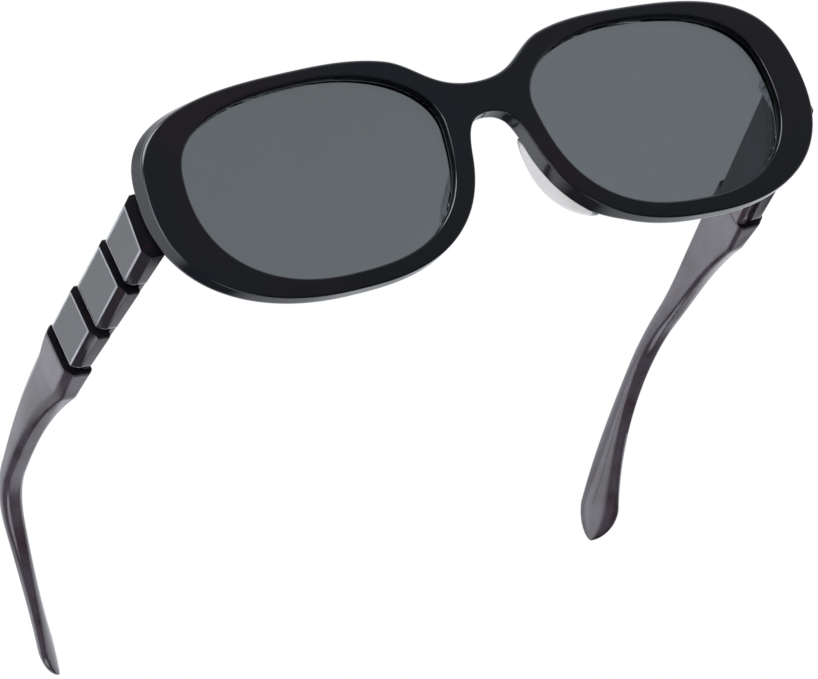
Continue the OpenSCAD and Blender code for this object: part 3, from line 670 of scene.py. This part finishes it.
TEMPLE_STREAK = (0.16, 0.03, 0.055)
ARM_COLOUR = (0.100, 0.083, 0.106)
ARM_CLOUD = (0.045, 0.027, 0.036)
TEMPLE_INDEX = 1.56
TEMPLE_CLEARNESS, ARM_CLEARNESS = 0.2, 0.35
# Painted shade: the ends of the blocks and of the arm's head get this near-black colour for the shade
# in the gaps between them.
END_SHADE_COLOUR = (0.006, 0.006, 0.008)
END_INDEX = 1.2

blocks_end = sum(BLOCK_LENGTHS.values())
butt = BUTT_GAP - HINGE_BACK
ear_start = blocks_end + EAR_START_LENGTH
ear_end = ear_start + EAR_BEND_LENGTH
taper_start = blocks_end + ARM_HEAD
tip_start = TEMPLE_LENGTH - TIP_POINT


def share_of(value, start, length):
    return min(1, max(0, (value - start) / length))


def temple_way(s):
    yaw = -math.radians(BOW_TURN * share_of(s, blocks_end, EAR_START_LENGTH)
                        + EAR_TURN * share_of(s, ear_start, EAR_BEND_LENGTH))
    fall = math.radians(EAR_DROP * share_of(s, ear_start, EAR_BEND_LENGTH)
                        + TIP_DROP * share_of(s, ear_end, TEMPLE_LENGTH - ear_end))
    return Vector((math.sin(yaw) * math.cos(fall), math.cos(yaw) * math.cos(fall), -math.sin(fall)))


PATH_STEP = 0.5
temple_path = [Vector((TEMPLE_IN, butt + blocks_end, 0))]
while blocks_end + PATH_STEP * (len(temple_path) - 1) < TEMPLE_LENGTH:
    along = blocks_end + PATH_STEP * (len(temple_path) - 0.5)
    temple_path.append(temple_path[-1] + temple_way(along) * PATH_STEP)


def temple_point(s):
    if s <= blocks_end:
        return Vector((TEMPLE_IN, butt + s, 0))
    place = (s - blocks_end) / PATH_STEP
    i = min(int(place), len(temple_path) - 2)
    return mix(temple_path[i], temple_path[i + 1], place - i)


def block_top(s):
    return PANEL / 2 + SLOPE_UP - EDGE_FALL * share_of(s, 0, blocks_end)


def block_bottom(s):
    return -PANEL / 2 - SLOPE_DOWN + EDGE_RISE * share_of(s, 0, blocks_end)


def slimming(s):
    return (1 - share_of(s, taper_start, TAPER_LENGTH)) ** 2


def point_share(s):
    if s <= tip_start:
        return 1
    return max(POINT_LEAST, math.cos(math.asin(min(1, (s - tip_start) / TIP_POINT))) ** POINT_POWER)


def arm_size(s):
    full = block_top(s) - block_bottom(s)
    plain = mix(ARM_HEIGHT, full, slimming(s))
    swell = share_of(s, tip_start - TIP_SWELL, TIP_SWELL) ** SWELL_POWER
    height = (plain + (TIP_HEIGHT - ARM_HEIGHT) * swell) * point_share(s)
    if s < taper_start:
        depth = mix(BLOCK_DEPTH, ARM_DEPTH, share_of(s, blocks_end, taper_start - blocks_end))
    else:
        depth = mix(ARM_DEPTH, TIP_DEPTH, smooth(share_of(s, ear_start, tip_start - ear_start)))
        depth *= point_share(s)
    lift = (block_top(s) + block_bottom(s)) / 2 * slimming(s) + (full - plain) / 2 * mix(
        ARM_LIFT, 0, smooth(share_of(s, taper_start, LIFT_LENGTH)))
    return depth, height, lift


CORNER_REACH = 0.48
SHOULDER, SHOULDER_TURN = 0.4665, 0.4
INNER_FACE, INNER_STEPS = 16, 6


def rounded_section(depth, height, outer, inner, soft, radius, dome=0.0):
    """A chamfered bar's section with every corner rounded, as points across and above.
    Its outer half melts into an ellipse by the share soft, its inner face into a dome."""
    t, h = depth / 2, height / 2
    corners = [(t, h - outer), (t - outer, h), (inner - t, h), (-t, h - inner),
               (-t, inner - h), (inner - t, -h), (t - outer, -h), (t, outer - h)]
    corners = [Vector(corner) for corner in corners]
    angles = [30, 60, 120, 150, 210, 240, 300, 330]
    section = []
    for i, (here, angle) in enumerate(zip(corners, angles)):
        for other, turn in ((i - 1, -1), ((i + 1) % 8, 1)):
            there = corners[other]
            reach = min(CORNER_REACH, radius / max(0.001, (there - here).length))
            gap = turn * ((turn * (angles[other] - angle)) % 360)
            near = mix(here, there, reach)
            blend = (near, angle + gap * reach)
            shoulder = (mix(here, near, SHOULDER), angle + gap * reach * SHOULDER_TURN)
            section += [blend, shoulder] if turn < 0 else [shoulder, blend]
    high, low = section[INNER_FACE - 1][0], section[INNER_FACE][0]
    section[INNER_FACE:INNER_FACE] = [(mix(high, low, k / INNER_STEPS), 180)
                                      for k in range(1, INNER_STEPS)]
    result = []
    for point, angle in section:
        if point.x > 0:
            round_turn = math.radians(angle)
            swollen = Vector((t * math.cos(round_turn), h * math.sin(round_turn)))
            result.append(mix(point, swollen, soft))
        else:
            swollen = Vector((-t * math.sqrt(1 - DOME_FALL * (point.y / h) ** 2), point.y))
            result.append(mix(point, swollen, dome))
    return result


def arm_ring(s, shrink=0.0):
    depth, height, lift = arm_size(s)
    limit = CHAMFER_LIMIT * min(depth, height)
    way = temple_way(s)
    out = (Vector((1, 0, 0)) - way * way.x).normalized()
    up = out.cross(way)
    middle = temple_point(s) + out * depth / 2 + up * lift
    twist = -math.radians(TIP_TWIST) * share_of(s, ear_start, tip_start - ear_start)
    across = out * math.cos(twist) - up * math.sin(twist)
    above = up * math.cos(twist) + out * math.sin(twist)
    soft = ARM_SOFTNESS * smooth(share_of(s, blocks_end, taper_start - blocks_end + SOFT_BEYOND))
    dome = smooth(share_of(s, ear_start - DOME_BEFORE, DOME_LENGTH))
    section = rounded_section(depth - shrink, height - shrink, min(SLOPE_IN, limit),
                              min(INNER_CHAMFER, limit), soft, ARM_ROUNDING, dome)
    return [middle + across * p.x + above * p.y for p in section]


def strip_ring(s):
    height = block_top(s) - block_bottom(s) - 2 * STRIP_INSET
    section = rounded_section(STRIP, height, STRIP_CHAMFER, INNER_CHAMFER, 0, STRIP_ROUNDING)
    middle = Vector((TEMPLE_IN + STRIP / 2, butt + s, (block_top(s) + block_bottom(s)) / 2))
    return [middle + Vector((p.x, 0, p.y)) for p in section]


def saw_off(form, at, way, tolerance):
    """Takes away what lies beyond a plane and closes the cut."""
    cut = bmesh.ops.bisect_plane(
        form, geom=form.verts[:] + form.edges[:] + form.faces[:], dist=tolerance,
        plane_co=at, plane_no=way, clear_outer=True)
    edges = [e for e in cut["geom_cut"] if isinstance(e, bmesh.types.BMEdge)]
    bmesh.ops.holes_fill(form, edges=edges)


def front_mitre():
    """The saw cut along the front's back face, drawn on the left: a point and its way."""
    mitre_x = hinge_x + TEMPLE_IN + BLOCK_DEPTH / 2
    turn = math.asin(mitre_x / FRONT_RADIUS)
    at = Vector((mitre_x, face_depth(mitre_x) + FRONT_DEPTH + BUTT_GAP, 0))
    return at, Vector((math.sin(turn), -math.cos(turn), 0))


def cut_along_front(piece, side):
    """Saws off what would reach into the front, parallel to the front's back face."""
    mirror = Matrix.Diagonal((side, 1, 1))
    at, way = front_mitre()
    form = bmesh.new()
    form.from_mesh(piece.data)
    saw_off(form, standing @ (mirror @ at), standing.to_3x3() @ (mirror @ way),
            SAW_TOLERANCE)
    bmesh.ops.recalc_face_normals(form, faces=form.faces)
    form.to_mesh(piece.data)
    form.free()
    piece.data.set_sharp_from_angle(angle=math.radians(CRISP_ANGLE))


temple_acetate = acetate_material(
    "pale_smoke_acetate", TEMPLE_COLOUR, TEMPLE_CLOUD, TEMPLE_STREAK,
    {"Cloud Share": 0.7, "Cloud Size": 90, "Streak Share": 0.35, "Polish": 0.07, "Wave Height": 0.1},
    clear=TEMPLE_CLEARNESS, index=TEMPLE_INDEX)
arm_acetate = acetate_material(
    "pale_arm_acetate", ARM_COLOUR, ARM_CLOUD, TEMPLE_STREAK,
    {"Cloud Share": 0.8, "Cloud Size": 110, "Streak Share": 0.45, "Polish": 0.07, "Wave Height": 0.1},
    clear=ARM_CLEARNESS, index=TEMPLE_INDEX)
shaded_cut_end = acetate_material(
    "cut_temple_end_painted_shade", END_SHADE_COLOUR, TEMPLE_CLOUD, TEMPLE_STREAK,
    {"Cloud Share": 0.3, "Cloud Size": 80, "Streak Share": 0.15, "Polish": 0.35, "Wave Height": 0.1},
    index=END_INDEX)
strip_rings = [strip_ring(s) for s in (*STRIP_STATIONS, blocks_end - STRIP_STOP)]
head_rings = [arm_ring(blocks_end + s, shrink) for s, shrink in HEAD_EDGE]
arm_rings = [arm_ring(mix(blocks_end + HEAD_CLEAR, tip_start, i / ARM_RINGS))
             for i in range(ARM_RINGS + 1)]
tip_rings = [arm_ring(tip_start + TIP_POINT * math.sin(math.radians(a)))
             for a in range(TIP_STEP, 91, TIP_STEP)]
temple_form = skin(strip_rings + head_rings + arm_rings + tip_rings)
row = len(arm_rings[0])
head_end = slice((len(strip_rings) - 1) * row, (len(strip_rings) + 1) * row)
for side_name, side in SIDES.items():
    temple = piece_mesh(side_name + "_temple_polished", *temple_form, side=side,
                        place=temple_on_front)
    # The arm head's front end gets the painted shade of the ends.
    for face in temple.data.polygons[head_end]:
        face.material_index = 1
    cut_along_front(temple, side)
    temple.data.materials.append(arm_acetate)
    temple.data.materials.append(shaded_cut_end)
    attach(temple, side_name + "_temple")
    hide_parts(side_name + "_temple")

# Blocks
# Three solid acetate tiles on each temple, bonded to the strip. Each has a flat panel with
# sloping edges, stands proud of the tile before it and narrows towards the rear.
# The light band round each panel and the bevels beside it are painted highlights.
BLOCK_GAP = 1.3
BLOCK_FALL = 1.0
FRONT_CORNER, REAR_CORNER = 0.8, 1.8
EDGE_POLISH = 0.2
HIGHLIGHT_BAND = 0.36
CORNER_CUT = 1.7
CORNER_WAY = Vector((0.6, -0.8, 0))
BLOCK_TOLERANCE = 1e-5
CORNER_TURN = 15
PANEL_FACING, END_FACING, BONDED_FACING = 0.95, 0.6, -0.9
LEAST_EDGE, PANEL_WELD = 0.08, 0.3
FLAT_ANGLE = 0.01
POLISHED_ANGLE = 20
BLOCK_CRISP = 30
# Painted highlight: a light blue-grey put on the band round each panel and on the bevels of the panel
# and rear end.
EDGE_HIGHLIGHT_COLOUR = (0.40, 0.42, 0.47)


def side_outline(start, end):
    arcs = ((end - REAR_CORNER, block_top(end) - REAR_CORNER, REAR_CORNER, 0),
            (start + FRONT_CORNER, block_top(start) - FRONT_CORNER, FRONT_CORNER, 90),
            (start + FRONT_CORNER, block_bottom(start) + FRONT_CORNER, FRONT_CORNER, 180),
            (end - REAR_CORNER, block_bottom(end) + REAR_CORNER, REAR_CORNER, 270))
    return [(butt + s + r * math.cos(math.radians(a)), z + r * math.sin(math.radians(a)))
            for s, z, r, turn in arcs for a in range(turn, turn + 91, CORNER_TURN)]


def from_lowest(corners):
    """A face's corners from the lowest on, so that every run gives the same mesh."""
    first = corners.index(min(corners))
    return tuple(corners[first:] + corners[:first])


def block_piece(name, start, end, side):
    """A bar sawn to its panel, slopes and mitre, with a painted highlight band round the panel and
    polished edges, some painted as highlights.
    """
    outline = side_outline(start, end)
    bar_points, bar_faces = skin([[(TEMPLE_IN + STRIP + depth, y, z) for y, z in outline]
                                  for depth in (0, 2 * BLOCK_DEPTH)])
    form = bmesh.new()
    bar = [form.verts.new(point) for point in bar_points]
    for face in bar_faces:
        form.faces.new([bar[i] for i in face])
    fall = BLOCK_FALL / BLOCK_LENGTHS["front"]
    face_start = Vector((TEMPLE_IN + BLOCK_DEPTH + fall * (max(start, 0) - start), butt + start, 0))
    along = Vector((-fall * (end - start), end - start, 0))
    planes = [(face_start, Vector((1, fall, 0)))]
    for way, edge in ((1, block_top), (-1, block_bottom)):
        panel_edge = face_start + Vector((0, 0, way * PANEL / 2))
        low_edge = Vector((-SLOPE_IN, 0, (edge(start) + edge(end)) / 2 - way * PANEL / 2))
        planes.append((panel_edge, along.cross(low_edge) * way))
    for point, normal in planes:
        saw_off(form, point, normal.normalized(), BLOCK_TOLERANCE)
    bmesh.ops.recalc_face_normals(form, faces=form.faces)
    if start < 0:
        at, way = front_mitre()
        back = temple_on_front.inverted()
        saw_off(form, back @ at, back.to_3x3() @ way, BLOCK_TOLERANCE)
        bmesh.ops.recalc_face_normals(form, faces=form.faces)
        corner = Vector((TEMPLE_IN + BLOCK_DEPTH, butt + start, 0))
        saw_off(form, corner + Vector((0, CORNER_CUT, 0)), CORNER_WAY, BLOCK_TOLERANCE)
        bmesh.ops.recalc_face_normals(form, faces=form.faces)
    form.normal_update()
    # Ends facing along the temple get the painted shade.
    for face in form.faces:
        if abs(face.normal.y) > END_FACING:
            face.material_index = 2
    bmesh.ops.remove_doubles(form, verts=form.verts[:], dist=LEAST_EDGE)
    bmesh.ops.dissolve_limit(form, angle_limit=FLAT_ANGLE, verts=form.verts[:], edges=form.edges[:])
    panel = [face for face in form.faces if face.normal.x > PANEL_FACING]
    # The band round the panel gets the painted highlight colour.
    border = bmesh.ops.inset_region(form, faces=panel, thickness=HIGHLIGHT_BAND, use_even_offset=True)
    for face in border["faces"]:
        face.material_index = 1
    panel_corners = list(dict.fromkeys(v for face in panel for v in face.verts))
    bmesh.ops.remove_doubles(form, verts=panel_corners, dist=PANEL_WELD)
    # The bevels beside the panel and the rear end get the painted highlight colour too.
    polish_edges(form, gets_painted_highlight, 1)
    polish_edges(form, off_the_painted_band, 0)
    points = [v.co.copy() for v in form.verts]
    form.verts.index_update()
    finished = sorted((from_lowest([v.index for v in face.verts]), face.material_index)
                      for face in form.faces)
    faces, finishes = zip(*finished)
    form.free()
    return piece_mesh(name, points, faces, side=side, place=temple_on_front, sharp=BLOCK_CRISP,
                      finishes=finishes)


def gets_painted_highlight(edge):
    """The edges of the panel and of the rear end, whose bevels get the painted highlight colour."""
    return any(f.normal.x > PANEL_FACING or f.normal.y > END_FACING for f in edge.link_faces)


def off_the_painted_band(edge):
    return all(f.material_index != 1 for f in edge.link_faces)


def polish_edges(form, chosen, finish):
    """Bevels the chosen crisp edges, except those of the bonded face."""
    crisp = [e for e in form.edges if len(e.link_faces) == 2
             and e.calc_face_angle(0) > math.radians(POLISHED_ANGLE)
             and all(f.normal.x > BONDED_FACING for f in e.link_faces) and chosen(e)]
    made = bmesh.ops.bevel(form, geom=crisp, offset=EDGE_POLISH, segments=2, profile=0.5,
                           affect="EDGES", clamp_overlap=True)
    for face in made["faces"]:
        face.material_index = finish
    form.normal_update()


painted_highlight_edge = acetate_material(
    "painted_edge_highlight", EDGE_HIGHLIGHT_COLOUR, TEMPLE_COLOUR, EDGE_HIGHLIGHT_COLOUR,
    {"Cloud Share": 0.35, "Cloud Size": 150, "Streak Share": 0.2, "Polish": 0.15, "Wave Height": 0.1},
    index=TEMPLE_INDEX)
for side_name, side in SIDES.items():
    start = 0
    for block_name, length in BLOCK_LENGTHS.items():
        block_start = -OVERREACH if block_name == "front" else start
        block = block_piece(side_name + "_" + block_name + "_block_polished",
                            block_start, start + length - BLOCK_GAP, side)
        start += length
        block.data.materials.append(temple_acetate)
        block.data.materials.append(painted_highlight_edge)
        block.data.materials.append(shaded_cut_end)
        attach(block, side_name + "_temple")
        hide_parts(side_name + "_" + block_name + "_block")

# Studio
# A pale floor, clear from below because the picture is taken from under the glasses, white
# surroundings and one broad soft lamp. The polished acetate mirrors soft walls, boxes and
# tables that stand out of sight: only reflections see them.
FLOOR_SIZE = 3.0
FLOOR_COLOUR = (0.86, 0.86, 0.86)
FLOOR_FADE = (0.1, 0.5)
SOFT_LIGHT = 0.8
MIRRORED_COLOUR = (0.9, 0.94, 1)
DARK_SIDE = 0.2
DARK_SIDE_EDGES = (-0.7, -0.2)
# Each card has its way, drawn like the glasses, and the cosines where it starts and is full.
LOW_CARD = ((0.0, 0.0, -1.0), 0.25, 0.42)
LOW_SHINE = 0.1
SIDE_WALL = ((-0.75, 0.6, 0.3), 0.75, 0.92)
END_WALL = ((-1.0, -0.05, 0.0), 0.88, 0.97)
EDGE_BOX = ((-0.85, -0.4, 0.3), 0.93, 0.985)
TOP_BOX = ((-0.4, -0.22, 0.9), 0.91, 0.98)
REAR_TABLE = ((0.25, 0.8, -0.55), 0.9, 0.985)
NEAR_TABLE = ((-0.35, 0.45, -0.82), 0.945, 0.985)
BOXES = ((SIDE_WALL, 0.55), (END_WALL, 1.8), (EDGE_BOX, 4.0), (TOP_BOX, 8.0), (REAR_TABLE, 0.9),
         (NEAR_TABLE, 2.4))
LAMP_AT, LAMP_AIM = Vector((-0.35, 0.1, 0.6)), Vector((0, 0, 0.02))
LAMP_SIZE = (0.5, 0.4)
LAMP_POWER = 1.6


def either(nodes, links, share, first, second):
    """The second shader in place of the first, by the share."""
    choice = nodes.new("ShaderNodeMixShader")
    links.new(share, choice.inputs["Fac"])
    links.new(first, choice.inputs[1])
    links.new(second, choice.inputs[2])
    return choice.outputs["Shader"]


def studio_floor():
    half = FLOOR_SIZE / 2
    mesh = bpy.data.meshes.new("floor")
    mesh.from_pydata([(-half, -half, 0), (half, -half, 0), (half, half, 0), (-half, half, 0)],
                     [], [(0, 1, 2, 3)])
    floor = bpy.data.objects.new("floor", mesh)
    scene.collection.objects.link(floor)
    material = bpy.data.materials.new("studio_floor")
    material.use_nodes = True
    nodes, links = material.node_tree.nodes, material.node_tree.links
    nodes.remove(nodes["Principled BSDF"])
    matt = nodes.new("ShaderNodeBsdfDiffuse")
    matt.inputs["Color"].default_value = (*FLOOR_COLOUR, 1)
    white = nodes.new("ShaderNodeEmission")
    clear = nodes.new("ShaderNodeBsdfTransparent")
    reach = nodes.new("ShaderNodeVectorMath")
    reach.operation = "LENGTH"
    links.new(nodes.new("ShaderNodeTexCoord").outputs["Object"], reach.inputs[0])
    far = soft_step(nodes, links, reach.outputs["Value"], FLOOR_FADE)
    ground = either(nodes, links, far, matt.outputs["BSDF"], white.outputs["Emission"])
    below = nodes.new("ShaderNodeNewGeometry").outputs["Backfacing"]
    glossy = nodes.new("ShaderNodeLightPath").outputs["Is Glossy Ray"]
    unseen = both(nodes, links, "MAXIMUM", below, glossy)
    seen = either(nodes, links, unseen, ground, clear.outputs["BSDF"])
    links.new(seen, nodes["Material Output"].inputs["Surface"])
    mesh.materials.append(material)


def mirrored_card(nodes, links, card, outside, inside):
    """A soft round card in the surroundings, by how near a reflection comes to its way."""
    way, start, full = card
    aimed = nodes.new("ShaderNodeVectorMath")
    aimed.operation = "DOT_PRODUCT"
    aimed.inputs[1].default_value = (tilt.to_3x3() @ Vector(way)).normalized()
    links.new(nodes.new("ShaderNodeTexCoord").outputs["Generated"], aimed.inputs[0])
    return soft_step(nodes, links, aimed.outputs["Value"], (start, full), outside, inside)


def studio_world():
    world = bpy.data.worlds.new("studio")
    scene.world = world
    world.use_nodes = True
    nodes, links = world.node_tree.nodes, world.node_tree.links
    lit = nodes["Background"]
    lit.inputs["Color"].default_value = (1, 1, 1, 1)
    lit.inputs["Strength"].default_value = SOFT_LIGHT
    white = nodes.new("ShaderNodeBackground")
    white.inputs["Color"].default_value = (1, 1, 1, 1)
    mirrored = nodes.new("ShaderNodeBackground")
    mirrored.inputs["Color"].default_value = (*MIRRORED_COLOUR, 1)
    split = nodes.new("ShaderNodeSeparateXYZ")
    links.new(nodes.new("ShaderNodeTexCoord").outputs["Generated"], split.inputs["Vector"])
    dark_side = soft_step(nodes, links, split.outputs["Y"], DARK_SIDE_EDGES, DARK_SIDE, 1.0)
    low_card = mirrored_card(nodes, links, LOW_CARD, 1.0, LOW_SHINE)
    shine = both(nodes, links, "MINIMUM", dark_side, low_card)
    for box, gain in BOXES:
        shine = both(nodes, links, "ADD", shine, mirrored_card(nodes, links, box, 0.0, gain))
    links.new(shine, mirrored.inputs["Strength"])
    path = nodes.new("ShaderNodeLightPath")
    surroundings = either(nodes, links, path.outputs["Is Glossy Ray"], lit.outputs["Background"],
                          mirrored.outputs["Background"])
    seen = both(nodes, links, "MAXIMUM", path.outputs["Is Camera Ray"],
                path.outputs["Is Transmission Ray"])
    surroundings = either(nodes, links, seen, surroundings, white.outputs["Background"])
    links.new(surroundings, nodes["World Output"].inputs["Surface"])


def soft_lamp():
    data = bpy.data.lights.new("overhead_softbox", "AREA")
    data.shape = "RECTANGLE"
    data.size, data.size_y = LAMP_SIZE
    data.energy = LAMP_POWER
    lamp = bpy.data.objects.new("overhead_softbox", data)
    scene.collection.objects.link(lamp)
    lamp.location = LAMP_AT
    lamp.rotation_euler = (LAMP_AIM - LAMP_AT).to_track_quat("-Z", "Y").to_euler()
    lamp.visible_glossy = False


studio_floor()
studio_world()
soft_lamp()
scene.view_settings.view_transform = "Standard"

# Camera
# From the front, from the wearer's right and from below, with a long lens and a rolled
# camera, as the picture was taken. It is set out in millimetres in the drawn front.
CAMERA_AT = Vector((-451.591, -755.597, -281.709))
CAMERA_AHEAD = Vector((0.4660, 0.8425, 0.2705))
CAMERA_DOWN = Vector((-0.1941, 0.3956, -0.8977))
FOCAL_LENGTH = 217.67
SENSOR_WIDTH = 36
FAR_LIMIT = 20

camera_data = bpy.data.cameras.new("camera")
camera_data.lens = FOCAL_LENGTH
camera_data.sensor_width = SENSOR_WIDTH
camera_data.clip_end = FAR_LIMIT
camera = bpy.data.objects.new("camera", camera_data)
scene.collection.objects.link(camera)
scene.camera = camera
turned = tilt.to_3x3().normalized()
backward = (turned @ -CAMERA_AHEAD).normalized()
sideways = (turned @ -CAMERA_DOWN).cross(backward).normalized()
upward = backward.cross(sideways)
camera.matrix_world = Matrix.Translation(standing @ CAMERA_AT) @ Matrix(
    (sideways, upward, backward)).transposed().to_4x4()
